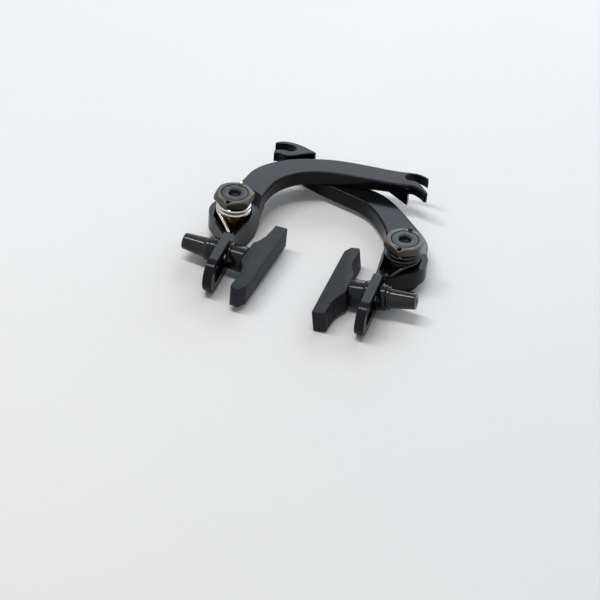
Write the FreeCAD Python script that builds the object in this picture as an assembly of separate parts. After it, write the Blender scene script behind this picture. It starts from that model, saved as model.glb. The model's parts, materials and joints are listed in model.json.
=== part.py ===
import FreeCAD, Part
import math
import os

# Rim brake caliper lying on its back: two crossed forged arms on two pivots, with springs and pads.
# Millimetres. The origin lies midway between the pivot axes on the back plane.
# +Z runs along the pivots towards the bolt heads, +Y towards the cable forks, +X to the right.

# Layout
pivot_spacing = 80.0        # between the two pivot axes
arm_rise = 52.0             # pivot line up to the middle of the cable forks
pad_drop = 24.0             # pivot line down to the pad studs, along the lug
lug_offset = 5.15           # pivot axis inboard to the middle of the pad lug at its shoulder
lug_lean = 3.3              # degrees that both lugs lean to the right of square
stud_height = 8.0           # pad studs above the back plane
left_toe = 1.5              # degrees that the left pad sags on its dished washers
right_toe = 8.0             # the same for the right pad
left_yaw = -1.5             # degrees that the left pad is swung on its washers
right_yaw = 2.0             # the same for the right pad

# Arm heights above the back plane
right_arm_top = 10.0        # top of the lower arm where the upper one crosses it
right_arm_bottom = 2.8      # underside of the lower arm beyond its boss
arm_gap = 0.4               # between the two arms where they cross
fork_top = 17.0             # top of the upper arm and of both forks
fork_thick = 4.7            # thickness of the fork prongs
rim_top = 13.0              # rim of the spring pocket
rim_bottom = 5.0            # underside of the boss outboard of the hub
pocket_floor = 6.0          # floor of the spring pocket
edge_round = 0.9            # rounded edges of the forging
ramp_start = 7.0            # pivot line up to where the right arm's top starts to fall
ramp_end = 20.0             # and to where it is level
under_start = 8.0           # pivot line up to where the right arm's underside starts to rise
under_end = 17.0            # and to where it is level

# Arm boss
boss_radius = 11.1
pocket_radius = 8.4
hub_radius = 8.6
pocket_tail = 15.2          # pivot line down to the foot of the pocket
pocket_wall = 1.3           # thin wall round the foot of the pocket

# Pad lug
lug_thick = 4.2
lug_end_radius = 8.0
slot_half_width = 3.55
slot_bottom = 39.5          # pivot line down to the lower centre of the slot
slot_room = 0.2             # left above the stud in its slot
lug_shoulder = 17.5         # pivot line down to the upper end of the lug's crest
lug_step = 1.2              # the crest's upper end slopes back over this length
lug_round = 0.6

# Cable forks
slot_width = 5.4            # cable slot between the prongs
prong_round = 1.2
fin_thick = 2.3             # web under the left arm's near prong

# Pivot stack
stud_bore_radius = 4.0      # the frame's stud enters the sleeve here
sleeve_radius = 4.8
running_gap = 0.05
bush_radius = 5.65
sleeve_top = 15.2
sleeve_cap = 1.7            # end wall under the nut
flange_radius = 7.0
flange_thick = 1.0
nut_flats = 16.0
nut_bottom = 20.0
nut_top = 23.5
nut_recess = 3.05           # depth of the recess for the bolt head
recess_radius = 6.25
bolt_head_radius = 6.0
bolt_radius = 2.95
bolt_end = 5.0
pivot_socket_flats = 5.0

# Spring
wire_radius = 1.0
coil_radius = 6.95
coil_pitch = 2.15
close_turns = 3.0
spring_hole_radius = 1.1
spring_hole_reach = 7.65
leg_lean = 8.0              # degrees that the spring's leg leans towards the pivot
leg_length = 11.3
spring_spans = 10           # the wire is swept in this many spans

# Pad and its hardware, measured along the stud from the middle of the lug
dome_sphere = 6.9
washer_radius = 6.0
dome_bore = 4.3
outer_cup_back = 6.5
inner_cup_back = 10.4
pad_stud_radius = 2.95
nut_thread_radius = 3.0
nut_collar_radius = 5.4
nut_collar_thick = 1.3
pad_nut_end = 19.3
pad_nut_base_radius = 4.6
pad_nut_tip_radius = 3.65
pad_socket_flats = 4.0
pad_socket_depth = 3.2
pad_face = 20.1
pad_end_back = 14.4
pad_length = 51.0
pad_shift = 1.4             # middle of the pad above its stud
pad_height = 10.0
pad_round = 0.8
post_head_radius = 4.4
post_head_thick = 2.2

half_span = pivot_spacing / 2
left_arm_bottom = right_arm_top + arm_gap
slot_top = pad_drop - slot_room
lug_inner = lug_offset + lug_thick / 2
lug_outer = lug_offset - lug_thick / 2
crest = stud_height + lug_end_radius
far = 200.0


def point(x, y, z=0.0):
    return FreeCAD.Vector(x, y, z)


def cylinder(radius, low, high, x=0.0, y=0.0):
    return Part.makeCylinder(radius, high - low, point(x, y, low))


def revolve_about_x(profile):
    wire = Part.makePolygon([point(s, r) for s, r in profile + profile[:1]])
    return Part.Face(wire).revolve(point(0, 0), point(1, 0), 360)


def spline(points):
    curve = Part.BSplineCurve()
    curve.interpolate(points)
    return curve.toShape()


def prism(edges, low, high):
    face = Part.Face(Part.Wire(edges))
    solid = face.extrude(point(0, 0, high - low))
    solid.translate(point(0, 0, low))
    return solid


def polygon_prism(corners, low, high):
    wire = Part.makePolygon([point(x, y) for x, y in corners + corners[:1]])
    solid = Part.Face(wire).extrude(point(0, 0, high - low))
    solid.translate(point(0, 0, low))
    return solid


def side_prism(corners, low, high):
    wire = Part.makePolygon([point(low, y, z) for y, z in corners + corners[:1]])
    return Part.Face(wire).extrude(point(high - low, 0, 0))


def hexagon(flats, low, high, turn=0.0):
    reach = flats / math.sqrt(3)
    angles = [math.radians(turn + 60 * k) for k in range(6)]
    return polygon_prism([(reach * math.cos(a), reach * math.sin(a)) for a in angles], low, high)


def band_edges(stations):
    left, right = [], []
    for k, (x, y, width) in enumerate(stations):
        before = stations[max(k - 1, 0)]
        after = stations[min(k + 1, len(stations) - 1)]
        dx, dy = after[0] - before[0], after[1] - before[1]
        length = math.hypot(dx, dy)
        nx, ny = -dy / length * width / 2, dx / length * width / 2
        left.append(point(x + nx, y + ny))
        right.append(point(x - nx, y - ny))
    return left, right


def band(stations, low, high):
    left, right = band_edges(stations)
    edges = [spline(left), Part.makeLine(left[-1], right[-1])]
    edges += [spline(right[::-1]), Part.makeLine(right[0], left[0])]
    return prism(edges, low, high)


def scaled(stations):
    return [(u * half_span, v * arm_rise, width) for u, v, width in stations]


def rounded(solid, radius, chosen):
    edges = [edge for edge in solid.Edges if chosen(edge)]
    if not edges:
        return solid
    for size in (radius, radius / 2):
        try:
            result = solid.makeFillet(size, edges)
        except Exception:
            continue
        if result.isValid() and result.Volume > 0:
            return result
    return solid


# Arms are drawn for the left side with the pivot at the origin and +X inboard.

left_line = [(-0.013, 0.06, 19.6), (0.015, 0.19, 17.6), (0.064, 0.32, 13.9), (0.095, 0.483, 13.7),
             (0.205, 0.650, 13.2), (0.352, 0.762, 12.2), (0.505, 0.832, 11.4), (0.720, 0.900, 11.2),
             (1.031, 0.946, 11.3), (1.270, 0.970, 11.0), (1.500, 0.995, 10.9), (1.600, 1.013, 11.0),
             (1.680, 1.029, 11.0), (1.750, 1.026, 10.5), (1.815, 1.005, 10.0), (1.880, 0.973, 9.4),
             (1.960, 0.920, 9.0)]
left_tips = [(1.844, 1.066), (1.902, 0.898)]
left_slot_line = [(1.637, 1.046), (1.700, 1.057), (1.765, 1.045), (1.830, 1.014), (1.970, 0.920)]
fork_root = 1.500
fin_length = 0.2875
fin_edge = 1.675
right_line = [(-0.004, 0.06, 19.4), (0.035, 0.18, 19.2), (0.081, 0.30, 18.9), (0.181, 0.428, 15.5),
              (0.378, 0.606, 12.4), (0.490, 0.688, 11.8), (0.658, 0.777, 11.3), (0.925, 0.833, 10.0),
              (1.275, 0.894, 9.5), (1.500, 0.945, 8.8), (1.720, 1.010, 7.4)]
right_near = [(1.962, 0.872), (1.883, 0.888), (1.820, 0.884), (1.753, 0.900), (1.686, 0.940), (1.610, 0.990),
              (1.530, 1.022)]
right_far = [(1.522, 1.042), (1.613, 1.068), (1.712, 1.090), (1.806, 1.100), (1.893, 1.096), (1.964, 1.076),
             (2.020, 1.035)]
right_slot_line = [(1.815, 1.006), (1.880, 1.005), (1.950, 0.989), (2.080, 0.935)]


def boss_outline(low, high):
    on_circle = [point(boss_radius * math.cos(a), boss_radius * math.sin(a))
                 for a in (math.radians(224), math.radians(165), math.radians(105))]
    tail = point(lug_outer, -lug_shoulder * 1.06)
    inner_low = point(lug_inner, -lug_shoulder)
    inner_high = point(boss_radius * 0.865, boss_radius * 0.72)
    swell = boss_radius * 0.2
    inner = [inner_low, point(lug_inner + swell * 0.2, -lug_shoulder * 0.686),
             point(lug_inner + swell * 0.64, -lug_shoulder * 0.314), point(lug_inner + swell, boss_radius * 0.135),
             inner_high]
    edges = [Part.makeLine(tail, on_circle[0]), Part.Arc(*on_circle).toShape()]
    edges.append(Part.makeLine(on_circle[2], inner_high))
    edges.append(spline(inner[::-1]))
    edges.append(Part.makeLine(inner_low, tail))
    return prism(edges, low, high)


def spring_pocket():
    bowl = cylinder(pocket_radius, pocket_floor, rim_top + far)
    slant = boss_radius * (math.cos(math.radians(224)) + math.sin(math.radians(224))) + pocket_wall * math.sqrt(2)
    start = -pocket_radius + pocket_wall
    bow = lug_thick * 0.18
    tail = polygon_prism([(lug_inner, 0), (lug_inner + bow, -pocket_tail * 0.13),
                          (lug_inner + bow / 3, -pocket_tail * 0.395), (lug_inner - bow / 2, -pocket_tail * 0.8),
                          (lug_inner - bow * 3, -pocket_tail), (slant + pocket_tail, -pocket_tail),
                          (start, slant - start), (-pocket_radius * 0.988, -pocket_radius / 6),
                          (-pocket_radius / 2, 0)], pocket_floor, rim_top + far)
    return bowl.fuse(tail)


def pad_lug(lean):
    low_centre, end = -slot_bottom, -lug_shoulder
    root = end * 0.57
    corner = lug_end_radius / 4
    diagonal = corner * (1 - math.sqrt(0.5))
    edges = [
        Part.makeLine(point(0, root, 0), point(0, low_centre, 0)),
        Part.Arc(point(0, low_centre, 0), point(0, low_centre - lug_end_radius, stud_height),
                 point(0, low_centre, crest)).toShape(),
        Part.makeLine(point(0, low_centre, crest), point(0, end - corner, crest)),
        Part.Arc(point(0, end - corner, crest), point(0, end - diagonal, crest - diagonal),
                 point(0, end, crest - corner)).toShape(),
        Part.makeLine(point(0, end, crest - corner), point(0, end + lug_step, rim_top - lug_step / 2)),
        Part.makeLine(point(0, end + lug_step, rim_top - lug_step / 2), point(0, root, rim_top - lug_step / 2)),
        Part.makeLine(point(0, root, rim_top - lug_step / 2), point(0, root, 0)),
    ]
    lug = Part.Face(Part.Wire(edges)).extrude(point(lug_thick, 0, 0))
    lug.translate(point(lug_outer, 0, 0))
    lug = rounded(lug, lug_round, lambda edge: edge.BoundBox.YMax < end + 0.01 and edge.BoundBox.XLength < 0.01
                  and edge.BoundBox.YMin > low_centre - lug_end_radius - 0.1)
    slot = Part.makeBox(lug_thick + 2, slot_bottom - slot_top, 2 * slot_half_width,
                        point(lug_outer - 1, -slot_bottom, stud_height - slot_half_width))
    for reach in (slot_bottom, slot_top):
        slot = slot.fuse(Part.makeCylinder(slot_half_width, lug_thick + 2,
                                           point(lug_outer - 1, -reach, stud_height), point(1, 0, 0)))
    lug = lug.cut(slot)
    lug.rotate(point(lug_offset, -lug_shoulder), point(0, 0, 1), lean)
    return lug


def washer_seat(lean):
    seat = Part.makeCylinder(washer_radius + 0.5, boss_radius + lug_offset, point(lug_outer, -slot_top, stud_height),
                             point(-1, 0, 0))
    seat.rotate(point(lug_offset, -lug_shoulder), point(0, 0, 1), lean)
    return seat


def finish_boss(arm, lean):
    arm = arm.fuse(cylinder(hub_radius, flange_thick + running_gap, rim_bottom + 0.5))
    arm = arm.cut(washer_seat(lean))
    arm = arm.cut(spring_pocket())
    arm = arm.cut(cylinder(bush_radius, -1, far))
    arm = arm.cut(cylinder(flange_radius + 0.3, -1, flange_thick + running_gap))
    return arm.fuse(pad_lug(lean)).cut(spring_pocket())


def top_edges(height, near=0.05):
    def chosen(edge):
        box = edge.BoundBox
        return abs(box.ZMin - height) < near and abs(box.ZMax - height) < near
    return chosen


def slot_cut(line, low, high):
    stations = scaled([(u, v, slot_width) for u, v in line])
    closed_end = cylinder(slot_width / 2, low, high, stations[0][0], stations[0][1])
    return band(stations, low, high).fuse(closed_end)


def beyond(first, second):
    dx, dy = second[0] - first[0], second[1] - first[1]
    length = math.hypot(dx, dy)
    dx, dy = dx / length * far, dy / length * far
    corners = [(first[0] - dx, first[1] - dy), (second[0] + dx, second[1] + dy),
               (second[0] + dx - dy, second[1] + dy + dx), (first[0] - dx - dy, first[1] - dy + dx)]
    return polygon_prism(corners, -far, far)


def left_arm():
    stations = scaled(left_line)
    tips = [(u * half_span, v * arm_rise) for u, v in left_tips]
    root_x = fork_root * half_span
    beam = band(stations, left_arm_bottom, fork_top).cut(beyond(*tips))
    underside = [(-far, -far), (-far, left_arm_bottom), (0.40 * half_span, left_arm_bottom),
                 (1.12 * half_span, (left_arm_bottom * 1.5 + fork_top - fork_thick) / 2.5),
                 (root_x + 0.075 * half_span, fork_top - fork_thick),
                 (far, fork_top - fork_thick), (far, -far)]
    wire = Part.makePolygon([point(x, 0, z) for x, z in underside + underside[:1]])
    arm = beam.cut(Part.Face(wire).extrude(point(0, far, 0)))
    arm = rounded(arm, prong_round, lambda edge: edge.BoundBox.XMin > root_x + 0.2 * half_span
                  and edge.BoundBox.XLength < 0.01
                  and edge.BoundBox.YLength < 0.01)
    arm = rounded(arm, edge_round, top_edges(fork_top))
    arm = arm.cut(slot_cut(left_slot_line, 0, far))
    arm = arm.fuse(fork_fin())
    relief = fork_top - rim_top + arm_gap
    arm = arm.cut(Part.makeCone(boss_radius + arm_gap, boss_radius + arm_gap + relief * 0.727, relief,
                                point(0, 0, rim_top)))
    root = boss_outline(0, rim_top).fuse(band(stations[:3], 0, rim_top))
    low, high = under_start / 3, under_end
    outboard = side_prism([(-far, -far), (-far, rim_bottom), (low, rim_bottom), (high, left_arm_bottom),
                           (far, left_arm_bottom), (far, -far)], -far, lug_outer)
    inboard = side_prism([(low, -far), (low, 0), (high, left_arm_bottom), (far, left_arm_bottom), (far, -far)],
                         lug_outer, far)
    root = root.cut(outboard).cut(inboard)
    return finish_boss(arm.fuse(root), lug_lean).removeSplitter()


def fork_fin():
    right = fin_edge * half_span
    left = right - fin_length * half_span
    high = fork_top - fork_thick / 4
    corners = [(left, fork_top - fork_thick * 0.9), (right, fork_top * 0.4), (right, high), (left, high)]
    wire = Part.makePolygon([point(x, 0, z) for x, z in corners + corners[:1]])
    fin = Part.Face(wire).extrude(point(0, fin_thick, 0))
    fin.translate(point(0, left_tips[1][1] * arm_rise - fin_thick * 0.1, 0))
    return fin


def right_arm():
    beam = band(scaled(right_line), 0, rim_top)
    slope = side_prism([(ramp_start, rim_top), (ramp_end, right_arm_top), (far, right_arm_top), (far, far),
                        (ramp_start, far)], -far, far)
    beam = beam.cut(slope)
    beam = rounded(beam, edge_round, lambda edge: edge.BoundBox.ZMin > right_arm_top - 0.05
                   and edge.BoundBox.YMin > ramp_start * 0.93 and edge.BoundBox.YLength > ramp_start * 0.7)
    underside = side_prism([(under_start, -far), (under_start, 0), (under_end, right_arm_bottom),
                            (far, right_arm_bottom), (far, -far)], -far, far)
    outboard = side_prism([(-far, -far), (-far, rim_bottom), (ramp_start, rim_bottom), (ramp_end, right_arm_bottom),
                           (ramp_end, -far)], -far, lug_outer)
    arm = boss_outline(0, rim_top).cut(slope).fuse(beam)
    arm = arm.cut(underside).cut(outboard)
    arm = arm.fuse(fork_block())
    corners = [(1.60 * half_span, right_arm_bottom - 1), (1.80 * half_span, fork_top - fork_thick),
               (far, fork_top - fork_thick), (far, right_arm_bottom - 1)]
    wire = Part.makePolygon([point(x, 0, z) for x, z in corners + corners[:1]])
    arm = arm.cut(Part.Face(wire).extrude(point(0, far, 0)))
    return finish_boss(arm, -lug_lean).removeSplitter()


def fork_block():
    near = [point(u * half_span, v * arm_rise) for u, v in right_near]
    far_side = [point(u * half_span, v * arm_rise) for u, v in right_far]
    edges = [spline(near), Part.makeLine(near[-1], far_side[0]), spline(far_side)]
    edges.append(Part.makeLine(far_side[-1], near[0]))
    block = prism(edges, right_arm_bottom, fork_top)
    block = rounded(block, edge_round, top_edges(fork_top))
    return block.cut(slot_cut(right_slot_line, 0, far))


def pivot_bush():
    height = sleeve_top - 0.3
    return cylinder(bush_radius, flange_thick + running_gap, height).cut(
        cylinder(sleeve_radius + running_gap, 0, far))


def pivot_sleeve():
    body = cylinder(sleeve_radius, 0, sleeve_top).fuse(cylinder(flange_radius, 0, flange_thick))
    body = body.cut(cylinder(stud_bore_radius, -1, sleeve_top - sleeve_cap))
    return body.cut(cylinder(bolt_radius + 0.15, 0, far)).removeSplitter()


def tension_nut():
    nut = hexagon(nut_flats, nut_bottom, nut_top, 90)
    corner = nut_flats / math.sqrt(3)
    flat = nut_flats / 2
    profile = [(0, nut_bottom), (flat, nut_bottom), (corner, nut_bottom + 0.6), (corner, nut_top - 0.9),
               (flat - 0.1, nut_top), (0, nut_top)]
    wire = Part.makePolygon([point(r, 0, z) for r, z in profile + profile[:1]])
    nut = nut.common(Part.Face(wire).revolve(point(0, 0), point(0, 0, 1), 360))
    nut = nut.fuse(cylinder(bush_radius, sleeve_top, nut_bottom + 0.5))
    nut = nut.cut(cylinder(recess_radius, nut_top - nut_recess, far))
    nut = nut.cut(cylinder(bolt_radius + 0.15, 0, far))
    for side in (-1, 1):
        nut = nut.cut(cylinder(spring_hole_radius, nut_bottom - 1, far, 0, side * spring_hole_reach))
    return nut.removeSplitter()


def pivot_bolt():
    seat = nut_top - nut_recess + running_gap
    head = rounded(cylinder(bolt_head_radius, seat, nut_top), 0.5, top_edges(nut_top))
    bolt = head.fuse(cylinder(bolt_radius, bolt_end, seat + 0.5))
    bolt = bolt.cut(hexagon(pivot_socket_flats, nut_top - 2.2, far, 20))
    return bolt.cut(Part.makeCone(pivot_socket_flats / 2, pivot_socket_flats / 2 + 0.9, 0.9,
                                  point(0, 0, nut_top - 0.6))).removeSplitter()


def return_spring():
    top = nut_bottom - wire_radius - 0.1
    bottom = pocket_floor + wire_radius + 0.05
    turns = close_turns + 1.25 + leg_lean / 360
    points = []
    count = int(turns * 14)
    for k in range(count + 1):
        turn = turns * k / count
        angle = math.radians(90 - 360 * turn)
        widen = max(0.0, 1 - turn / 0.2) * (spring_hole_reach - coil_radius)
        if turn < close_turns:
            height = top - coil_pitch * turn
        else:
            share = (turn - close_turns) / (turns - close_turns)
            last_close = top - coil_pitch * close_turns
            height = last_close + (bottom - last_close) * (share * share * (3 - 2 * share))
        reach = coil_radius + widen
        points.append(point(reach * math.cos(angle), reach * math.sin(angle), height))
    lean = math.radians(leg_lean)
    corner = points[-1]
    for share in (0.25, 0.6, 1.0):
        reach = share * leg_length
        points.append(corner + point(-reach * math.sin(lean), -reach * math.cos(lean)))
    curve = Part.BSplineCurve()
    curve.interpolate(points)
    length = curve.LastParameter - curve.FirstParameter
    cuts = [curve.FirstParameter + length * k / spring_spans for k in range(spring_spans + 1)]
    path = Part.Wire([curve.toShape(low, high) for low, high in zip(cuts, cuts[1:])])
    start = points[0]
    heading = path.Edges[0].tangentAt(path.Edges[0].FirstParameter)
    profile = Part.Wire(Part.makeCircle(wire_radius, start, heading))
    spring = path.makePipeShell([profile], True, False)
    riser = Part.makeCylinder(wire_radius, nut_top + 0.2 - start.z, start, point(0, 0, 1))
    spring = spring.fuse(Part.makeSphere(wire_radius, start)).fuse(riser)
    return spring.fuse(Part.makeSphere(wire_radius, point(start.x, start.y, nut_top + 0.2)))


# Pad hardware is drawn along +X, outboard, with the middle of the lug at the origin.

def on_sphere(radius, reach):
    return math.sqrt(radius * radius - reach * reach)


def dome_washer():
    flat = lug_thick / 2 + running_gap
    rim, crown = on_sphere(dome_sphere, washer_radius), on_sphere(dome_sphere, dome_bore)
    edges = [
        Part.makeLine(point(flat, dome_bore), point(flat, washer_radius)),
        Part.makeLine(point(flat, washer_radius), point(rim, washer_radius)),
        Part.Arc(point(rim, washer_radius), point(on_sphere(dome_sphere, 5.1), 5.1),
                 point(crown, dome_bore)).toShape(),
        Part.makeLine(point(crown, dome_bore), point(flat, dome_bore)),
    ]
    return Part.Face(Part.Wire(edges)).revolve(point(0, 0), point(1, 0), 360)


def cup_washer(back, reach):
    sphere = dome_sphere + running_gap
    bore = pad_stud_radius + 0.1
    rim, crown = on_sphere(sphere, reach), on_sphere(sphere, bore)
    edges = [
        Part.Arc(point(rim, reach), point(on_sphere(sphere, 4.6), 4.6), point(crown, bore)).toShape(),
        Part.makeLine(point(crown, bore), point(back, bore)),
        Part.makeLine(point(back, bore), point(back, reach - 0.5)),
        Part.makeLine(point(back, reach - 0.5), point(back - 0.5, reach)),
        Part.makeLine(point(back - 0.5, reach), point(rim, reach)),
    ]
    return Part.Face(Part.Wire(edges)).revolve(point(0, 0), point(1, 0), 360)


def pad_nut():
    base = outer_cup_back + running_gap
    shoulder = base + nut_collar_thick
    hollow = pad_nut_end - pad_socket_depth
    profile = [(base, nut_thread_radius), (base, nut_collar_radius), (shoulder - 0.3, nut_collar_radius),
               (shoulder, nut_collar_radius - 0.3), (shoulder, pad_nut_base_radius),
               (pad_nut_end - 0.6, pad_nut_tip_radius), (pad_nut_end, pad_nut_tip_radius - 0.6),
               (pad_nut_end, 0), (hollow, 0), (hollow, nut_thread_radius)]
    nut = revolve_about_x(profile)
    key = hexagon(pad_socket_flats, hollow - 0.5, pad_nut_end + 1, 0)
    key.rotate(point(0, 0), point(0, 1, 0), 90)
    return nut.cut(key)


def pad_stud():
    tip = pad_nut_end - pad_socket_depth - 0.6
    head_face = -(inner_cup_back + 3.0)
    post = Part.makeCylinder(pad_stud_radius, tip - head_face, point(head_face, 0, 0), point(1, 0, 0))
    head = Part.makeCylinder(post_head_radius, post_head_thick, point(head_face - post_head_thick, 0, 0),
                             point(1, 0, 0))
    return post.fuse(head).removeSplitter()


def brake_pad():
    low_end = pad_shift - pad_length / 2
    high_end = pad_shift + pad_length / 2
    back = inner_cup_back + running_gap
    lower = [point(-pad_end_back, low_end + 1.0), point(-pad_end_back + 0.3, low_end + 5.5),
             point(-pad_end_back + 1.6, low_end + 12.5), point(-back - 1.0, -8.6), point(-back, -7.4)]
    upper = [point(-back, 6.4), point(-back - 1.2, 8.2), point(-pad_end_back + 1.2, 11.0),
             point(-pad_end_back + 0.2, 14.5), point(-pad_end_back, high_end - 3.2),
             point(-pad_end_back - 0.9, high_end - 0.9), point(-pad_end_back - 2.6, high_end)]
    face_low = point(-pad_face, low_end + 0.6)
    face_high = point(-pad_face, high_end - 5.5)
    edges = [spline(lower), Part.makeLine(lower[-1], upper[0]), spline(upper)]
    edges.append(Part.makeLine(upper[-1], face_high))
    edges.append(Part.makeLine(face_high, face_low))
    edges.append(Part.makeLine(face_low, lower[0]))
    pad = prism(edges, -pad_height / 2, pad_height / 2)
    corners = [lower[0], face_low, face_high, upper[-1]]
    pad = rounded(pad, pad_round, lambda edge: edge.BoundBox.ZLength > 1
                  and min(abs(edge.BoundBox.Center.x - c.x) + abs(edge.BoundBox.Center.y - c.y) for c in corners) < 0.1)
    pad = rounded(pad, pad_round, lambda edge: edge.BoundBox.ZLength < 0.01)
    for k in range(3):
        groove = Part.makeCylinder(0.5, far, point(-pad_end_back + 0.35 + 0.25 * k, low_end + 4.4 + 2.6 * k, -far / 2))
        pad = pad.cut(groove)
    return pad.cut(pad_stud())


def seated(shape, side, turned=False):
    placed = shape.copy()
    if side < 0 and turned:
        placed.rotate(point(0, 0), point(0, 0, 1), 180)
    elif side < 0:
        placed = placed.mirror(point(0, 0), point(1, 0, 0))
    return placed


def at_stud(shape, side):
    lean = math.radians(lug_lean)
    reach = pad_drop - lug_shoulder
    x = side * (half_span - lug_offset) + reach * math.sin(lean)
    y = -lug_shoulder - reach * math.cos(lean)
    shape.translate(point(x, y, stud_height))
    return shape


def on_lug(shape, side):
    shape = seated(shape, side)
    shape.rotate(point(0, 0), point(0, 0, 1), lug_lean)
    return at_stud(shape, side)


def on_stud(shape, side, turned=False):
    shape = seated(shape, side, turned)
    toe, yaw = (left_toe, left_yaw) if side < 0 else (right_toe, right_yaw)
    shape.rotate(point(0, 0), point(0, 1, 0), -side * toe)
    shape.rotate(point(0, 0), point(0, 0, 1), yaw)
    return at_stud(shape, side)


def on_side(shape, side):
    if side > 0:
        shape = shape.mirror(point(0, 0), point(1, 0, 0))
    shape.translate(point(side * half_span, 0, 0))
    return shape


def save(name, shape):
    solids = shape.Solids
    if len(solids) != 1 or not shape.isValid():
        raise ValueError(name + " is not one sound solid: " + str(len(solids)))
    solids[0].exportStep("parts/" + name + ".step")


def main():
    os.makedirs("parts", exist_ok=True)
    arms = {-1: left_arm, 1: right_arm}
    for side, word in ((-1, "left_"), (1, "right_")):
        save(word + "arm", on_side(arms[side](), side))
        save(word + "pivot_bush", on_side(pivot_bush(), side))
        save(word + "pivot_sleeve", on_side(pivot_sleeve(), side))
        save(word + "pivot_bolt", on_side(pivot_bolt(), side))
        save(word + "tension_nut", on_side(tension_nut(), side))
        save(word + "return_spring", on_side(return_spring(), side))
        outer_dome = dome_washer()
        inner_dome = outer_dome.mirror(point(0, 0), point(1, 0, 0))
        outer_cup = cup_washer(outer_cup_back, washer_radius)
        inner_cup = cup_washer(inner_cup_back, washer_radius - 0.1).mirror(point(0, 0), point(1, 0, 0))
        save(word + "outer_dome_washer", on_lug(outer_dome, side))
        save(word + "inner_dome_washer", on_lug(inner_dome, side))
        tilting = {"outer_cup_washer": outer_cup, "inner_cup_washer": inner_cup, "pad_nut": pad_nut(),
                   "pad_stud": pad_stud()}
        for name, shape in tilting.items():
            save(word + name, on_stud(shape, side))
        save(word + "brake_pad", on_stud(brake_pad(), side, turned=True))


main()
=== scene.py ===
"""Looks of a crossed-arm rim brake caliper: two forged arms, their pivots, springs and pads."""

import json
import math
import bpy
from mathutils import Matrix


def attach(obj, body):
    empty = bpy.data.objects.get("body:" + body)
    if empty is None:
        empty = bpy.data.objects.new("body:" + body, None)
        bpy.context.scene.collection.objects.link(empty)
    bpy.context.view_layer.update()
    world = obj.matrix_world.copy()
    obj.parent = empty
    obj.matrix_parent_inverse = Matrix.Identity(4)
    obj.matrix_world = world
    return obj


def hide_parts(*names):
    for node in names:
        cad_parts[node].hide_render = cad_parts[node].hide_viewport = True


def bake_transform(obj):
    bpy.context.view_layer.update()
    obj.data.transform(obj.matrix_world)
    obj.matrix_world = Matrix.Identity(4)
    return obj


bl_info = {
    "name": "Crossed-arm rim brake caliper",
    "version": (1, 0, 0),
    "blender": (4, 5, 0),
    "location": "3D View > Sidebar > Caliper",
    "description": "Dresses the caliper's frame with finished pieces, materials and a plain studio",
    "category": "Object",
}

import bmesh
import bpy
from mathutils import Matrix, Vector

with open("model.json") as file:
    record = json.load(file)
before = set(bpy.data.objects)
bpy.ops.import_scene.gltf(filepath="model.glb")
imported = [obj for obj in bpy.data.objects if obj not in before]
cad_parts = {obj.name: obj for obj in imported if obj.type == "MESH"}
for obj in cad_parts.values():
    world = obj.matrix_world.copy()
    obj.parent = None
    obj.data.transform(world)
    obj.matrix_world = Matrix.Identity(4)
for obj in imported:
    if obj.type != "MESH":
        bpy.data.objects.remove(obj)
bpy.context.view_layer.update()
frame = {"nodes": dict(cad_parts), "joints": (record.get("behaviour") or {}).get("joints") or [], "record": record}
JOINTS = {joint["name"]: joint for joint in frame["joints"]}

# Lengths are in metres and angles in degrees, in the frame that the solids use.

# Each side's sign along X, and the reach of its pivot from the middle.
SIDES = {"left": -1, "right": 1}
PIVOT_REACH = 0.04

# How close points are merged in a finished piece, in a copied solid and while a shape is cut.
PIECE_MERGE, SOLID_MERGE, CUT_MERGE = 1e-6, 2e-6, 1e-7

# Faces of a copied solid within the first angle are one flat, and edges past the second one
# are shaded as sharp.
ONE_FLAT, SHADED_SHARP = 0.6, 38.0

# A Mix node has its sockets for numbers and for colours at these places.
NUMBER_A, NUMBER_B, NUMBER_RESULT = 2, 3, 0
COLOUR_A, COLOUR_B, COLOUR_RESULT = 6, 7, 2


# Sizes and colours a user would change.

class CaliperSizes(bpy.types.PropertyGroup):
    wire_radius: bpy.props.FloatProperty(
        name="Spring wire radius", description="Radius of the return spring's wire",
        default=0.001, unit="LENGTH", precision=5)
    coil_radius: bpy.props.FloatProperty(
        name="Coil radius", description="Radius of the coil's centre line",
        default=0.00695, unit="LENGTH", precision=5)
    coil_pitch: bpy.props.FloatProperty(
        name="Coil pitch", description="Rise from one coil to the next",
        default=0.00215, unit="LENGTH", precision=5)
    pad_length: bpy.props.FloatProperty(
        name="Pad length", description="Length of a brake pad",
        default=0.051, unit="LENGTH", precision=5)


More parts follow.
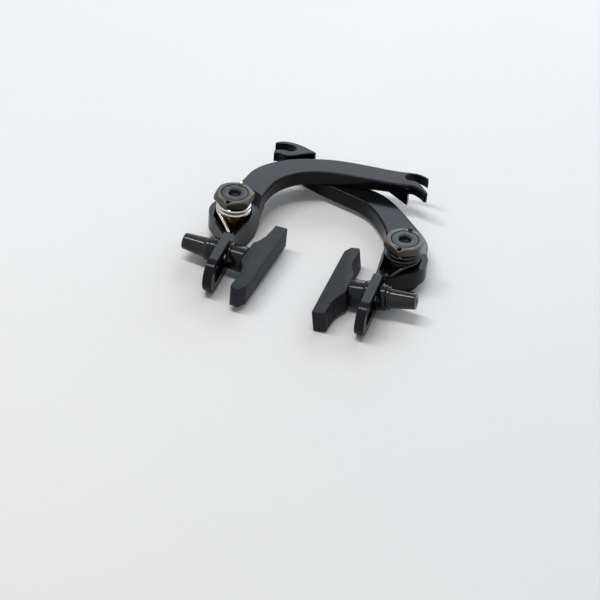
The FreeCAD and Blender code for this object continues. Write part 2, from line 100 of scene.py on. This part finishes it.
class CaliperColours(bpy.types.PropertyGroup):
    forging: bpy.props.FloatVectorProperty(
        name="Arms", description="Paint of the two forged arms", subtype="COLOR",
        default=(0.004, 0.0052, 0.0072), min=0, max=1)
    fittings: bpy.props.FloatVectorProperty(
        name="Washers and pad nuts", description="Gloss black plating of the pad hardware",
        subtype="COLOR", default=(0.0035, 0.0038, 0.0045), min=0, max=1)
    tension_nut: bpy.props.FloatVectorProperty(
        name="Tension nuts", description="Phosphated steel of the spring tension nuts",
        subtype="COLOR", default=(0.074, 0.066, 0.055), min=0, max=1)
    bolt: bpy.props.FloatVectorProperty(
        name="Pivot bolts", description="Blackened steel of the pivot bolts", subtype="COLOR",
        default=(0.022, 0.026, 0.032), min=0, max=1)
    rubber: bpy.props.FloatVectorProperty(
        name="Pads", description="Moulded rubber of the pads", subtype="COLOR",
        default=(0.014, 0.0165, 0.0205), min=0, max=1)
    # The left spring's bright steel is tinted warm here as a painted reflection of warm surroundings.
    bright_wire: bpy.props.FloatVectorProperty(
        name="Left spring", description="Bright wire of the left spring", subtype="COLOR",
        default=(0.6, 0.54, 0.45), min=0, max=1)
    black_wire: bpy.props.FloatVectorProperty(
        name="Right spring", description="Black wire of the right spring", subtype="COLOR",
        default=(0.004, 0.004, 0.0042), min=0, max=1)
    bronze: bpy.props.FloatVectorProperty(
        name="Bushes", description="Bronze of the pivot bushes", subtype="COLOR",
        default=(0.46, 0.27, 0.1), min=0, max=1)
    steel: bpy.props.FloatVectorProperty(
        name="Plated steel", description="Sleeves and pad studs", subtype="COLOR",
        default=(0.42, 0.43, 0.44), min=0, max=1)
    floor: bpy.props.FloatVectorProperty(
        name="Floor", description="Plain pale floor", subtype="COLOR",
        default=(0.8, 0.795, 0.785), min=0, max=1)


class CaliperCamera(bpy.types.PropertyGroup):
    azimuth: bpy.props.FloatProperty(
        name="Azimuth", description="Turn of the camera round the caliper",
        default=math.radians(17.862), subtype="ANGLE")
    elevation: bpy.props.FloatProperty(
        name="Elevation", description="Height of the camera above the floor, as an angle",
        default=math.radians(38.7), subtype="ANGLE")
    roll: bpy.props.FloatProperty(
        name="Roll", description="Turn of the camera about its own view",
        default=math.radians(4.5), subtype="ANGLE")
    distance: bpy.props.FloatProperty(
        name="Distance", description="From the camera to what it aims at",
        default=0.88854, unit="LENGTH")
    target: bpy.props.FloatVectorProperty(
        name="Target", description="Point on the floor that the camera aims at",
        default=(0.004374, -0.030965, 0.0), subtype="TRANSLATION")
    lens: bpy.props.FloatProperty(
        name="Lens", description="Focal length in millimetres", default=122.58)


# The shared surface effect, a shader node group, and the materials that use it.

# Noise from the first value to the second takes a patch from clean to full: worn on most finishes, a painted
# darker reflection on the bright spring.
PATCH_STARTS, PATCH_FULL = 0.38, 0.68
GRAIN_DEPTH = 0.0001


def add_math(tree, operation, *feeds):
    """Adds a math node fed by sockets or plain numbers, and gives its result."""
    node = tree.nodes.new("ShaderNodeMath")
    node.operation = operation
    for socket, feed in zip(node.inputs, feeds):
        if isinstance(feed, bpy.types.NodeSocket):
            tree.links.new(feed, socket)
        else:
            socket.default_value = feed
    return node.outputs["Value"]


def add_noise(tree, place, scale, detail, roughness):
    """Adds a noise texture that reads two sockets, a place and a scale, and gives its value."""
    noise = tree.nodes.new("ShaderNodeTexNoise")
    noise.inputs["Detail"].default_value = detail
    noise.inputs["Roughness"].default_value = roughness
    tree.links.new(place, noise.inputs["Vector"])
    tree.links.new(scale, noise.inputs["Scale"])
    return noise.outputs["Fac"]


def grained_surface():
    """Colour, roughness and height of a surface with fine grain and slow variation."""
    tree = bpy.data.node_groups.new("Grained surface", "ShaderNodeTree")
    for label, value in (("Colour", (0.5, 0.5, 0.5, 1)), ("Worn Or Reflected Colour", (0.6, 0.6, 0.6, 1)),
                         ("Roughness", 0.4), ("Roughness Spread", 0.1), ("Grain Scale", 2500.0),
                         ("Patch Scale", 90.0), ("Wear Or Reflection", 0.1)):
        kind = "NodeSocketFloat" if isinstance(value, float) else "NodeSocketColor"
        tree.interface.new_socket(label, in_out="INPUT", socket_type=kind).default_value = value
    for label, kind in (("Colour", "NodeSocketColor"), ("Roughness", "NodeSocketFloat"),
                        ("Height", "NodeSocketFloat")):
        tree.interface.new_socket(label, in_out="OUTPUT", socket_type=kind)
    nodes, links = tree.nodes, tree.links
    given = nodes.new("NodeGroupInput").outputs
    made = nodes.new("NodeGroupOutput").inputs
    place = nodes.new("ShaderNodeTexCoord").outputs["Object"]
    grain = add_noise(tree, place, given["Grain Scale"], detail=3.0, roughness=0.5)
    patches = add_noise(tree, place, given["Patch Scale"], detail=4.0, roughness=0.55)
    band = nodes.new("ShaderNodeMapRange")
    band.inputs["From Min"].default_value = PATCH_STARTS
    band.inputs["From Max"].default_value = PATCH_FULL
    links.new(patches, band.inputs["Value"])
    patch = band.outputs["Result"]
    # Patches take the second colour: real wear on most finishes, a painted darker reflection on the bright spring.
    mix = nodes.new("ShaderNodeMix")
    mix.data_type = "RGBA"
    links.new(add_math(tree, "MULTIPLY", patch, given["Wear Or Reflection"]), mix.inputs["Factor"])
    links.new(given["Colour"], mix.inputs[COLOUR_A])
    links.new(given["Worn Or Reflected Colour"], mix.inputs[COLOUR_B])
    links.new(mix.outputs[COLOUR_RESULT], made["Colour"])
    sway = add_math(tree, "SUBTRACT", patch, 0.5)
    spread = add_math(tree, "MULTIPLY_ADD", sway, given["Roughness Spread"], given["Roughness"])
    links.new(spread, made["Roughness"])
    links.new(grain, made["Height"])
    return tree


def finish_material(name, colour, gain, roughness, spread, grain, patch, wear_or_reflection=0.5, metallic=0.0,
                    bump=0.02, specular=0.5, coat=0.0, coat_roughness=0.1):
    """A material of a colour that is gain times as light where its patches are worn, and on the bright spring
    darker where they paint a reflection.
    """
    material = bpy.data.materials.new(name)
    material.use_nodes = True
    nodes, links = material.node_tree.nodes, material.node_tree.links
    shader = nodes["Principled BSDF"]
    for label, value in (("Metallic", metallic), ("Specular IOR Level", specular),
                         ("Coat Weight", coat), ("Coat Roughness", coat_roughness)):
        shader.inputs[label].default_value = value
    surface = nodes.new("ShaderNodeGroup")
    surface.node_tree = bpy.data.node_groups.get("Grained surface") or grained_surface()
    worn_or_reflected = [min(1.0, share * gain) for share in colour]
    for label, value in (("Colour", (*colour, 1)), ("Worn Or Reflected Colour", (*worn_or_reflected, 1)),
                         ("Roughness", roughness), ("Roughness Spread", spread),
                         ("Grain Scale", grain), ("Patch Scale", patch), ("Wear Or Reflection", wear_or_reflection)):
        surface.inputs[label].default_value = value
    links.new(surface.outputs["Colour"], shader.inputs["Base Color"])
    links.new(surface.outputs["Roughness"], shader.inputs["Roughness"])
    relief = nodes.new("ShaderNodeBump")
    relief.inputs["Strength"].default_value = bump
    relief.inputs["Distance"].default_value = GRAIN_DEPTH
    links.new(surface.outputs["Height"], relief.inputs["Height"])
    links.new(relief.outputs["Normal"], shader.inputs["Normal"])
    return material


def finishes():
    """Every finish of the caliper by its material slot, made once."""
    paint = bpy.context.scene.caliper_colours
    table = {
        "black_forging": dict(colour=paint.forging, gain=1.5, roughness=0.17, spread=0.05,
                              grain=2600, patch=70, specular=0.14),
        "black_washer": dict(colour=paint.fittings, gain=1.8, roughness=0.16, spread=0.06,
                             grain=1800, patch=160, specular=0.22),
        "black_nut": dict(colour=paint.fittings, gain=1.6, roughness=0.1, spread=0.04,
                          grain=1500, patch=160, bump=0.0, specular=0.36),
        "phosphated_nut": dict(colour=paint.tension_nut, gain=1.35, roughness=0.42, spread=0.14,
                               grain=3200, patch=260, wear_or_reflection=0.7, metallic=0.5, bump=0.25,
                               specular=0.25),
        "dark_bolt": dict(colour=paint.bolt, gain=1.4, roughness=0.36, spread=0.12,
                          grain=3000, patch=300, wear_or_reflection=0.6, metallic=0.4, bump=0.18, specular=0.3),
        "pad_rubber": dict(colour=paint.rubber, gain=1.4, roughness=0.5, spread=0.12,
                           grain=1900, patch=130, wear_or_reflection=0.7, bump=0.3, specular=0.14),
        # The bright spring's warm tint and its darker patches, gain under one, paint a warm, dark reflection on
        # the bright steel.
        "bright_spring": dict(colour=paint.bright_wire, gain=0.86, roughness=0.16, spread=0.1,
                              grain=2200, patch=320, metallic=1.0, bump=0.06),
        "black_spring": dict(colour=paint.black_wire, gain=1.7, roughness=0.16, spread=0.06,
                             grain=2200, patch=320, specular=0.3, coat=0.25, coat_roughness=0.04),
        "bronze": dict(colour=paint.bronze, gain=1.25, roughness=0.34, spread=0.14,
                       grain=2600, patch=300, wear_or_reflection=0.7, metallic=1.0, bump=0.2),
        "plated_steel": dict(colour=paint.steel, gain=1.2, roughness=0.3, spread=0.12,
                             grain=2600, patch=240, wear_or_reflection=0.6, metallic=1.0, bump=0.12),
    }
    made = {}
    for slot, looks in table.items():
        name = "caliper " + slot
        made[slot] = bpy.data.materials.get(name) or finish_material(name, **looks)
    return made


# What the record says of a node.

def slot_of(node):
    """The material slot that a node takes its finish from."""
    for entry in frame["record"]["subparts"]:
        if entry["node"] == node:
            return entry["material_slot"]
    raise RuntimeError("no material slot is stated for " + node)


def body_of_node(node):
    """The body that a node rides with."""
    for body, nodes in frame["record"]["behaviour"]["bodies"].items():
        if node in nodes:
            return body
    raise RuntimeError(node + " is in no body")


# Shaping helpers.

def sharp_edges(shape, angle):
    """The edges between two faces that turn by more than an angle."""
    limit = math.radians(angle)
    return [edge for edge in shape.edges
            if len(edge.link_faces) == 2 and edge.calc_face_angle() > limit]


def round_edges(shape, edges, width, segments):
    """Rounds the given edges of a shape."""
    bmesh.ops.bevel(shape, geom=edges, offset=width, offset_type="OFFSET", segments=segments,
                    profile=0.5, affect="EDGES", material=-1, clamp_overlap=True)


def close_holes(shape):
    """Fills every open edge loop of a shape."""
    bmesh.ops.holes_fill(shape, edges=[edge for edge in shape.edges if edge.is_boundary], sides=0)


def cut_across(shape, point, normal, clear=False):
    """Cuts a whole shape by a plane, and clears the side that the normal points to if asked."""
    whole = shape.verts[:] + shape.edges[:] + shape.faces[:]
    bmesh.ops.bisect_plane(shape, geom=whole, dist=CUT_MERGE, plane_co=point, plane_no=normal,
                           clear_outer=clear)


def add_piece(node, shape, place=None, bends=None):
    """Makes a shape the piece that stands for a CAD node; it rides with its body unless bends is given.

    Bends holds the other body, where the piece would start to follow it and where wholly; only whether it is given
    is used, and such a piece is baked in place with no body.
    """
    if place is not None:
        bmesh.ops.transform(shape, matrix=place, verts=shape.verts)
    bmesh.ops.remove_doubles(shape, verts=shape.verts, dist=PIECE_MERGE)
    bmesh.ops.recalc_face_normals(shape, faces=shape.faces)
    for face in shape.faces:
        face.smooth = True
    for edge in sharp_edges(shape, SHADED_SHARP):
        edge.smooth = False
    mesh = bpy.data.meshes.new(node + "_piece")
    shape.to_mesh(mesh)
    shape.free()
    mesh.materials.append(finishes()[slot_of(node)])
    piece = bpy.data.objects.new(node + "_piece", mesh)
    bpy.context.scene.collection.objects.link(piece)
    if bends:
        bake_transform(piece)
    else:
        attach(piece, body_of_node(node))
    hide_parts(node)


def solid_copy(node):
    """A merged copy of a CAD node's mesh with its flat faces made whole."""
    shape = bmesh.new()
    shape.from_mesh(frame["nodes"][node].data)
    bmesh.ops.remove_doubles(shape, verts=shape.verts, dist=SOLID_MERGE)
    bmesh.ops.dissolve_limit(shape, angle_limit=math.radians(ONE_FLAT), verts=shape.verts,
                             edges=shape.edges)
    return shape


def swept(stations, sides):
    """Extrudes a ring through a row of stations, each a matrix that places the unit ring."""
    shape = bmesh.new()
    made = bmesh.ops.create_circle(shape, cap_ends=False, segments=sides, radius=1.0,
                                   matrix=stations[0])
    ring = list({edge for vert in made["verts"] for edge in vert.link_edges})
    first = ring
    for before, after in zip(stations, stations[1:]):
        step = bmesh.ops.extrude_edge_only(shape, edges=ring)
        verts = [item for item in step["geom"] if isinstance(item, bmesh.types.BMVert)]
        fresh = set(verts)
        ring = [item for item in step["geom"] if isinstance(item, bmesh.types.BMEdge)
                and item.verts[0] in fresh and item.verts[1] in fresh]
        bmesh.ops.transform(shape, matrix=after @ before.inverted(), verts=verts)
    bmesh.ops.holes_fill(shape, edges=first + ring, sides=0)
    return shape


# A wire's domed end has a ring at each of these angles from its foot.
DOME_ANGLES = (25, 50, 75)


def station(turned, place, radius):
    """Matrix that places the unit ring on a path."""
    return Matrix.Translation(place) @ turned @ Matrix.Diagonal((radius, radius, radius, 1))


def dome(turned, place, outward, radius):
    """Stations of the domed end of a wire, from the wire to the tip."""
    leans = [math.radians(angle) for angle in DOME_ANGLES]
    return [station(turned, place + outward * radius * math.sin(lean), radius * math.cos(lean))
            for lean in leans]


def along_path(points, radius):
    """Stations of a round wire along a path, with domed ends."""
    heading = (points[1] - points[0]).normalized()
    across = heading.orthogonal().normalized()
    rests = []
    for k, place in enumerate(points):
        ahead = (points[min(k + 1, len(points) - 1)] - points[max(k - 1, 0)]).normalized()
        across = heading.rotation_difference(ahead) @ across
        heading = ahead
        turned = Matrix((across, heading.cross(across), heading)).transposed().to_4x4()
        rests.append((turned, place, heading))
    turned, place, heading = rests[0]
    made = dome(turned, place, -heading, radius)[::-1]
    made += [station(turned, place, radius) for turned, place, heading in rests]
    turned, place, heading = rests[-1]
    return made + dome(turned, place, heading, radius)


def on_pivot(side):
    """Placing of a piece drawn for the left pivot, with X inboard."""
    place = Matrix.Translation((side * PIVOT_REACH, 0, 0))
    return place @ Matrix.Scale(-1, 4, (1, 0, 0)) if side > 0 else place


def on_stud(word):
    """Placing of a piece drawn along a pad stud, with X outboard and Z up."""
    joint = JOINTS[word + "_pad_turn"]
    outward = Vector(joint["axis"]).normalized()
    upright = (Vector((0, 0, 1)) - outward * outward.z).normalized()
    place = Matrix((outward, upright.cross(outward), upright)).transposed().to_4x4()
    place.translation = Vector(joint["pos_m"])
    return place


# Pieces

class CALIPER_OT_arms(bpy.types.Operator):
    """Paint the two forged arms"""

    bl_idname = "caliper.arms"
    bl_label = "Arms"

    def execute(self, context):
        for word in SIDES:
            node = word + "_arm"
            mesh = frame["nodes"][node].data
            mesh.materials.clear()
            mesh.materials.append(finishes()[slot_of(node)])
        return {"FINISHED"}


# The spring's wire: the angles round the pivot where its coil starts and its leg leaves.
COIL_STARTS, LEG_LEAVES = 90, 230.0
WHOLE_COILS, POINTS_PER_COIL, WIRE_SIDES = 2, 48, 20
# Height of the coil's first point, and of what the leg's foot lies on.
COIL_TOP, POCKET_FLOOR, FOOT_GAP = 0.0189, 0.006, 0.00005
# Reach from the pivot of the nut's hole, and the part of a turn in which the wire comes in.
HOLE_REACH, COMES_IN = 0.00765, 0.2
LEG_LENGTH, LEG_STEPS = 0.0126, 12
# Heights above which the coil would keep still with the nut and below which it would turn with the arm; they are
# handed on in bends but nothing bends the coil by them.
COIL_HELD, COIL_FREE = 0.0178, 0.0144


class CALIPER_OT_springs(bpy.types.Operator):
    """Wind the two return springs, from the hole in the nut to the foot in the pocket"""

    bl_idname = "caliper.springs"
    bl_label = "Return springs"

    def execute(self, context):
        sizes = context.scene.caliper_sizes
        for word, side in SIDES.items():
            stations = along_path(self.wire_line(sizes), sizes.wire_radius)
            pivot = side * PIVOT_REACH
            bends = word + "_arm_body", (pivot, 0, COIL_HELD), (pivot, 0, COIL_FREE)
            add_piece(word + "_return_spring", swept(stations, WIRE_SIDES), on_pivot(side), bends)
        return {"FINISHED"}

    def wire_line(self, sizes):
        """Centre line of the wire: up through the nut's hole, round the coil and down the leg."""
        turns = WHOLE_COILS + (LEG_LEAVES - COIL_STARTS) / 360
        count = int(turns * POINTS_PER_COIL)
        coil = []
        for k in range(count + 1):
            turn = turns * k / count
            angle = math.radians(COIL_STARTS + 360 * turn)
            outer = max(0.0, 1 - turn / COMES_IN) ** 2
            reach = sizes.coil_radius + outer * (HOLE_REACH - sizes.coil_radius)
            coil.append(Vector((reach * math.cos(angle), reach * math.sin(angle),
                                COIL_TOP - sizes.coil_pitch * turn)))
        riser = [Vector((aside, HOLE_REACH, height)) for aside, height in
                 ((0, 0.0237), (0, 0.0212), (0, 0.0202), (-0.00012, 0.0196), (-0.0004, 0.0191))]
        heading = Vector((-math.sin(math.radians(LEG_LEAVES)),
                          math.cos(math.radians(LEG_LEAVES)), 0))
        corner = coil[-1]
        fall = POCKET_FLOOR + sizes.wire_radius + FOOT_GAP - corner.z
        # The leg falls at an even rate for one half and eases out and in for the other half.
        leg = []
        for k in range(1, LEG_STEPS + 1):
            share = k / LEG_STEPS
            drop = 0.5 * share + 0.5 * share * share * (3 - 2 * share)
            leg.append(corner + heading * LEG_LENGTH * share + Vector((0, 0, fall * drop)))
        # The riser's bend takes the place of the coil's first two points.
        return riser + coil[2:] + leg


# The pad: its middle from the stud along its length, its half height and the back of its low end.
PAD_MIDDLE, PAD_HALF, PAD_BACK = 0.0014, 0.005, -0.0144
# The slopes above and below its high end start this far from it and lean by this much.
NOSE_START, NOSE_AHEAD, NOSE_UP = 0.0012, 0.9, 0.43
# Rounding of its upright edges, which turn the corners of its outline, and of all others.
CORNER_WIDTH, CORNER_ANGLE, EDGE_WIDTH, EDGE_ANGLE, PAD_SEGMENTS = 0.0007, 6, 0.0005, 30, 4
# Wear grooves: how many, the first one's place, their pitch, radius, depth and growth in depth.
GROOVES, GROOVE_START, GROOVE_PITCH = 3, 0.0044, 0.0026
GROOVE_RADIUS, GROOVE_DEPTH, GROOVE_GROWTH = 0.0005, 0.00035, 0.00025
# Where the pad is cut across each groove to give it points, in shares of the radius.
GROOVE_CUTS = (-0.96, -0.8, -0.5, 0.0, 0.5, 0.8, 0.96)


class CALIPER_OT_pads(bpy.types.Operator):
    """Mould the two brake pads with their grooves and rounded edges"""

    bl_idname = "caliper.pads"
    bl_label = "Brake pads"

    def execute(self, context):
        for word in SIDES:
            pad = self.moulded_pad(context.scene.caliper_sizes.pad_length)
            add_piece(word + "_brake_pad", pad, on_stud(word))
        return {"FINISHED"}

    def moulded_pad(self, length):
        low, high = PAD_MIDDLE - length / 2, PAD_MIDDLE + length / 2
        shape = bmesh.new()
        outline = [shape.verts.new((x, y, -PAD_HALF)) for x, y in self.plan(low, high)]
        made = bmesh.ops.extrude_face_region(shape, geom=[shape.faces.new(outline)])
        raised = [item for item in made["geom"] if isinstance(item, bmesh.types.BMVert)]
        bmesh.ops.translate(shape, verts=raised, vec=(0, 0, 2 * PAD_HALF))
        close_holes(shape)
        for up in (1, -1):
            cut_across(shape, (0, high - NOSE_START, up * PAD_HALF),
                       (0, NOSE_AHEAD, NOSE_UP * up), clear=True)
            close_holes(shape)
        bmesh.ops.recalc_face_normals(shape, faces=shape.faces)
        corners = [edge for edge in sharp_edges(shape, CORNER_ANGLE)
                   if abs(edge.verts[0].co.z - edge.verts[1].co.z) > PAD_HALF]
        round_edges(shape, corners, CORNER_WIDTH, PAD_SEGMENTS)
        round_edges(shape, sharp_edges(shape, EDGE_ANGLE), EDGE_WIDTH, PAD_SEGMENTS)
        self.cut_grooves(shape, low)
        return shape

    def plan(self, low, high):
        """Outline of the pad seen from above, round from its low end along the back."""
        return [(PAD_BACK, low + 0.0006), (-0.0141, low + 0.0055), (-0.0128, low + 0.0125),
                (-0.01145, -0.0086), (-0.01045, -0.0074), (-0.01045, 0.0064), (-0.01165, 0.0082),
                (-0.0132, 0.011), (-0.0139, 0.0145), (-0.0135, high - 0.0024),
                (-0.0144, high - 0.0007), (-0.0158, high), (-0.0172, high),
                (-0.0201, high - 0.0046), (-0.0201, low + 0.0002)]

    def cut_grooves(self, shape, low):
        """Presses fine wear grooves across the back of the pad, near its low end."""
        for k in range(GROOVES):
            middle = low + GROOVE_START + GROOVE_PITCH * k
            bottom = PAD_BACK + GROOVE_DEPTH + GROOVE_GROWTH * k
            for share in GROOVE_CUTS:
                cut_across(shape, (0, middle + GROOVE_RADIUS * share, 0), (0, 1, 0))
            for vert in shape.verts:
                away = abs(vert.co.y - middle)
                if away < GROOVE_RADIUS and vert.co.x > bottom - 2 * GROOVE_RADIUS:
                    round_depth = math.sqrt(GROOVE_RADIUS * GROOVE_RADIUS - away * away)
                    vert.co.x = min(vert.co.x, bottom - round_depth)


# The edges past this angle are broken, in this many steps, and by a width for each piece.
BROKEN_ANGLE, BROKEN_STEPS = 30, 2
BROKEN_EDGES = {"tension_nut": 0.00016, "pivot_bolt": 0.0002, "outer_dome_washer": 0.0001,
                "inner_dome_washer": 0.0001, "outer_cup_washer": 0.0002,
                "inner_cup_washer": 0.0002, "pivot_bush": 0.00012, "pivot_sleeve": 0.00015,
                "pad_stud": 0.0002}


class CALIPER_OT_fasteners(bpy.types.Operator):
    """Turn the nuts, bolts, washers and sleeves, with broken edges"""

    bl_idname = "caliper.fasteners"
    bl_label = "Fasteners and washers"

    def execute(self, context):
        for word in SIDES:
            add_piece(word + "_pad_nut", self.turned_nut(), on_stud(word))
            for part, width in BROKEN_EDGES.items():
                node = word + "_" + part
                shape = solid_copy(node)
                round_edges(shape, sharp_edges(shape, BROKEN_ANGLE), width, BROKEN_STEPS)
                add_piece(node, shape)
        return {"FINISHED"}

    def turned_nut(self):
        """A tapered nut on a collar, with a hexagonal socket through its end."""
        # Places along the stud, then radii, the taper's from its thick end to its thin one.
        base, shoulder, floor, end = 0.00655, 0.00785, 0.0161, 0.0193
        bore, collar, thick, thin, socket = 0.003, 0.0054, 0.0046, 0.00365, 0.0023094
        rings, turn_steps = 6, 72
        tip_width, tip_steps, edge_width, edge_angle = 0.0005, 4, 0.0002, 40
        profile = [(floor, bore), (base, bore), (base, collar), (shoulder, collar)]
        profile += [(shoulder + (end - shoulder) * k / rings, thick + (thin - thick) * k / rings)
                    for k in range(rings + 1)]
        shape = bmesh.new()
        verts = [shape.verts.new((along, 0, reach)) for along, reach in profile]
        edges = [shape.edges.new(pair) for pair in zip(verts, verts[1:])]
        bmesh.ops.spin(shape, geom=verts + edges, cent=(0, 0, 0), axis=(1, 0, 0), angle=math.tau,
                       steps=turn_steps, use_merge=True)
        bmesh.ops.remove_doubles(shape, verts=shape.verts, dist=CUT_MERGE)
        loops = [self.ring_at(shape, end), self.hexagon(shape, end, socket),
                 self.hexagon(shape, floor, socket), self.ring_at(shape, floor)]
        for first, second in zip(loops, loops[1:]):
            bmesh.ops.bridge_loops(shape, edges=first + second)
        bmesh.ops.recalc_face_normals(shape, faces=shape.faces)
        round_edges(shape, [edge for edge in loops[0] if edge.is_valid], tip_width, tip_steps)
        round_edges(shape, sharp_edges(shape, edge_angle), edge_width, BROKEN_STEPS)
        return shape

    def ring_at(self, shape, along):
        """The open ring of edges at a place along the stud."""
        return [edge for edge in shape.edges if edge.is_boundary
                and all(abs(vert.co.x - along) < PIECE_MERGE for vert in edge.verts)]

    def hexagon(self, shape, along, radius):
        """Adds a hexagon across the stud and gives its edges."""
        place = Matrix.Translation((along, 0, 0)) @ Matrix.Rotation(math.pi / 2, 4, "Y")
        made = bmesh.ops.create_circle(shape, segments=6, radius=radius, matrix=place)
        return list({edge for vert in made["verts"] for edge in vert.link_edges})


# Half the width of the floor, and the world's colour and its strength on surfaces and as seen.
FLOOR_REACH = 3.0
WORLD_COLOUR, WORLD_FILL, WORLD_SEEN = (0.93, 0.96, 1.0, 1), 0.35, 1.0


class CALIPER_OT_studio(bpy.types.Operator):
    """Set up the floor, the soft lights and the camera"""

    bl_idname = "caliper.studio"
    bl_label = "Studio"

    def execute(self, context):
        scene = context.scene
        scene.view_settings.view_transform = "Standard"
        self.add_floor(scene)
        self.add_world(scene)
        self.add_lights(scene)
        self.add_camera(scene)
        return {"FINISHED"}

    def add_floor(self, scene):
        shape = bmesh.new()
        bmesh.ops.create_grid(shape, x_segments=2, y_segments=2, size=FLOOR_REACH)
        mesh = bpy.data.meshes.new("floor")
        shape.to_mesh(mesh)
        shape.free()
        mesh.materials.append(finish_material(
            "Pale floor", scene.caliper_colours.floor, gain=0.98, roughness=0.7, spread=0.05,
            grain=300, patch=6, specular=0.2))
        floor = bpy.data.objects.new("floor", mesh)
        scene.collection.objects.link(floor)

    def add_world(self, scene):
        """Lights the scene softly, and shows a white surround to the camera and in reflections."""
        world = bpy.data.worlds.new("Studio")
        scene.world = world
        world.use_nodes = True
        tree = world.node_tree
        background = tree.nodes["Background"]
        background.inputs["Color"].default_value = WORLD_COLOUR
        rays = tree.nodes.new("ShaderNodeLightPath").outputs
        seen = add_math(tree, "MAXIMUM", rays["Is Camera Ray"], rays["Is Glossy Ray"])
        shown = add_math(tree, "MAXIMUM", seen, rays["Is Transmission Ray"])
        strength = tree.nodes.new("ShaderNodeMix")
        strength.inputs[NUMBER_A].default_value = WORLD_FILL
        strength.inputs[NUMBER_B].default_value = WORLD_SEEN
        tree.links.new(shown, strength.inputs["Factor"])
        tree.links.new(strength.outputs[NUMBER_RESULT], background.inputs["Strength"])

    def add_lights(self, scene):
        # Each lamp's name, place, aim, width, height, power and colour.
        lamps = [("back_softbox", (0.1, 1.05, 0.5), (0.0, 0.0, 0.0), 1.15, 0.9, 10.5,
                  (0.76, 0.88, 1.0)),
                 ("top_strip", (-0.33, -0.12, 1.1), (-0.33, -0.1, 0.0), 0.9, 0.14, 7.5,
                  (1.0, 0.99, 0.97))]
        for name, place, aim, width, height, power, colour in lamps:
            lamp = bpy.data.lights.new(name, "AREA")
            lamp.shape = "RECTANGLE"
            lamp.size = width
            lamp.size_y = height
            lamp.energy = power
            lamp.color = colour
            holder = bpy.data.objects.new(name, lamp)
            scene.collection.objects.link(holder)
            holder.location = place
            holder.visible_camera = False
            facing = Vector(aim) - Vector(place)
            holder.rotation_euler = facing.to_track_quat("-Z", "Y").to_euler()

    def add_camera(self, scene):
        """Puts the camera where the photograph was taken from."""
        view = scene.caliper_camera
        back = Vector((math.sin(view.azimuth) * math.cos(view.elevation),
                       -math.cos(view.azimuth) * math.cos(view.elevation),
                       math.sin(view.elevation)))
        level = Vector((math.cos(view.azimuth), math.sin(view.azimuth), 0.0))
        upright = back.cross(level)
        right = level * math.cos(view.roll) + upright * math.sin(view.roll)
        up = upright * math.cos(view.roll) - level * math.sin(view.roll)
        camera = bpy.data.objects.new("camera", bpy.data.cameras.new("camera"))
        scene.collection.objects.link(camera)
        turn = Matrix((right, up, back)).transposed().to_4x4()
        turn.translation = Vector(view.target) + back * view.distance
        camera.matrix_world = turn
        camera.data.sensor_width = 36.0
        camera.data.lens = view.lens
        camera.data.clip_start = 0.01
        scene.camera = camera


OPERATORS = [CALIPER_OT_arms, CALIPER_OT_springs, CALIPER_OT_pads, CALIPER_OT_fasteners,
             CALIPER_OT_studio]


class CALIPER_PT_panel(bpy.types.Panel):
    """Lists the caliper's pieces, sizes and colours"""

    bl_label = "Caliper"
    bl_idname = "CALIPER_PT_panel"
    bl_space_type = "VIEW_3D"
    bl_region_type = "UI"
    bl_category = "Caliper"

    def draw(self, context):
        layout, scene = self.layout, context.scene
        for settings in (scene.caliper_sizes, scene.caliper_colours, scene.caliper_camera):
            box = layout.box()
            for key in settings.__annotations__:
                box.prop(settings, key)
        for operator in OPERATORS:
            layout.operator(operator.bl_idname)


CLASSES = [CaliperSizes, CaliperColours, CaliperCamera, *OPERATORS, CALIPER_PT_panel]


def register():
    for item in CLASSES:
        bpy.utils.register_class(item)
    bpy.types.Scene.caliper_sizes = bpy.props.PointerProperty(type=CaliperSizes)
    bpy.types.Scene.caliper_colours = bpy.props.PointerProperty(type=CaliperColours)
    bpy.types.Scene.caliper_camera = bpy.props.PointerProperty(type=CaliperCamera)


def unregister():
    del bpy.types.Scene.caliper_sizes
    del bpy.types.Scene.caliper_colours
    del bpy.types.Scene.caliper_camera
    for item in reversed(CLASSES):
        bpy.utils.unregister_class(item)


def main():
    register()
    for operator in OPERATORS:
        group, name = operator.bl_idname.split(".")
        getattr(getattr(bpy.ops, group), name)()


if __name__ == "__main__":
    main()
